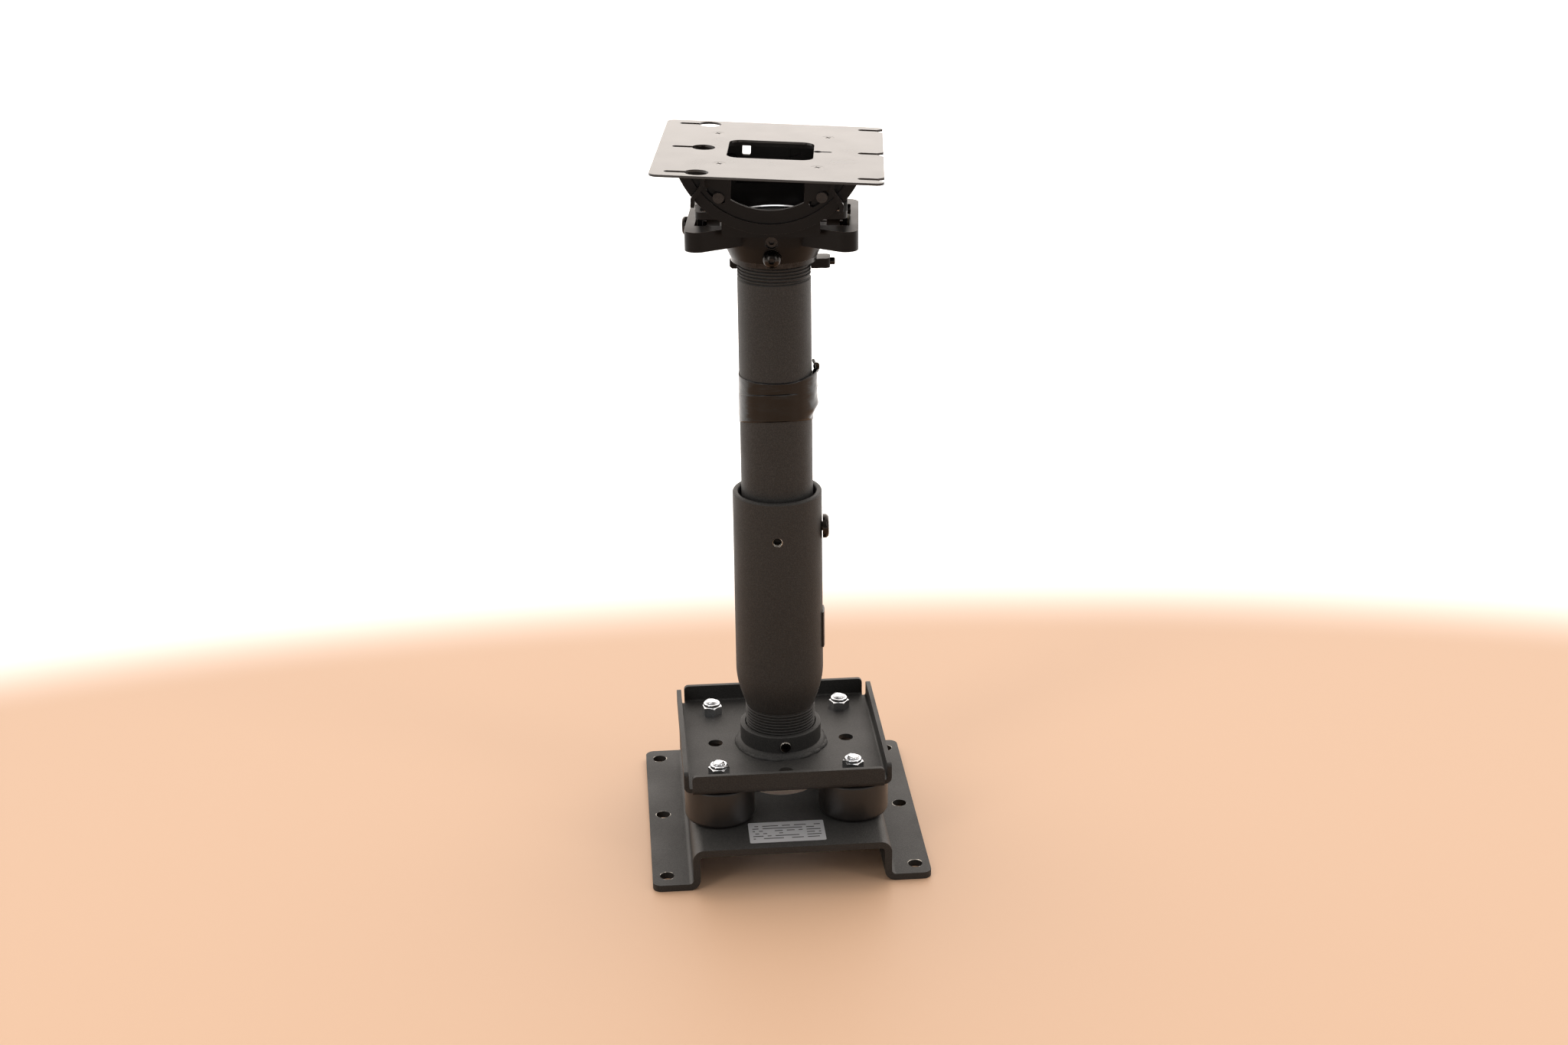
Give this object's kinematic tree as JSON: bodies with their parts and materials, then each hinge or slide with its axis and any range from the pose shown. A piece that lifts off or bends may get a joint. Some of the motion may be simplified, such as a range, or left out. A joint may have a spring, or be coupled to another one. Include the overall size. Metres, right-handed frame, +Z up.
{
  "type": "projector ceiling mount",
  "caption": "Adjustable pipe-column ceiling mount on a vibration-isolated base, with a yaw, pitch and roll head under a flat keyholed interface plate.",
  "frame": {"origin": "centre of the base's footprint, on the plane that the base rests on and on the column's axis", "axes": "+Z up the column to the interface plate, +X to the right, -Y towards the front with the label"},
  "size_m": [0.1886, 0.1982, 0.483],
  "materials": {
    "powder_coat": "fine-textured black powder coat on steel",
    "head_paint": "smooth satin black powder coat",
    "rubber": "moulded natural rubber, satin",
    "zinc": "bright zinc plate",
    "black_oxide": "black oxide, lightly oiled",
    "label_foil": "matt silver foil label, blank",
    "vinyl_tape": "glossy black vinyl tape",
    "black_plastic": "black plastic",
    "nylon": "natural nylon"
  },
  "bodies": {
    "base": {"base_channel": "powder_coat", "rating_label": "label_foil", "isolator_front_left": "rubber", "isolator_front_right": "rubber", "isolator_rear_left": "rubber", "isolator_rear_right": "rubber", "isolator_lower_studs": "zinc", "deck_lock_nuts": "zinc"},
    "tray": {"tray_pan": "powder_coat", "column_socket": "powder_coat", "socket_set_screw": "black_oxide", "isolator_upper_studs": "zinc", "tray_lock_nuts": "zinc", "outer_column": "powder_coat", "column_lock_bolt": "black_oxide", "side_cover_strip": "black_plastic"},
    "upper_column": {"inner_column": "powder_coat", "guide_bush": "nylon", "tape_wrap": "vinyl_tape", "jam_ring": "head_paint", "jam_ring_screw": "black_oxide", "yaw_hub": "black_oxide", "yaw_retaining_ring": "zinc"},
    "yaw_head": {"head_casting": "head_paint", "yaw_lock_screw": "black_oxide", "hub_set_screw": "black_oxide", "pitch_pivot_screws": "black_oxide", "pitch_washers": "nylon"},
    "pitch_frame": {"pitch_cradle": "head_paint", "cradle_side_screws": "black_oxide", "cradle_side_nuts": "zinc", "roll_screws": "black_oxide", "roll_washers": "black_oxide", "roll_nuts": "zinc"},
    "roll_plate": {"roll_bracket": "head_paint", "interface_plate": "head_paint", "plate_screws": "black_oxide"}
  },
  "joints": [
    {"name": "isolator_give", "type": "slide", "parent": "base", "child": "tray", "axis": [0, 0, 1], "range_m": [-0.002, 0.001], "stiffness_N_per_m": 40000, "springref_m": 0.001, "deforming": ["isolator_front_left", "isolator_front_right", "isolator_rear_left", "isolator_rear_right"]},
    {"name": "column_height", "type": "slide", "parent": "tray", "child": "upper_column", "axis": [0, 0, 1], "range_m": [-0.03, 0.041]},
    {"name": "head_yaw", "type": "hinge", "parent": "upper_column", "child": "yaw_head", "pos_m": [0, 0, 0.42], "axis": [0, 0, 1], "continuous": true},
    {"name": "head_pitch", "type": "hinge", "parent": "yaw_head", "child": "pitch_frame", "pos_m": [0, 0, 0.4305], "axis": [0.9939, -0.1099, 0], "range_deg": [-9, 9]},
    {"name": "head_roll", "type": "hinge", "parent": "pitch_frame", "child": "roll_plate", "pos_m": [0, 0, 0.498], "axis": [0.1099, 0.9939, 0], "range_deg": [-7.6, 2.3]}
  ]
}
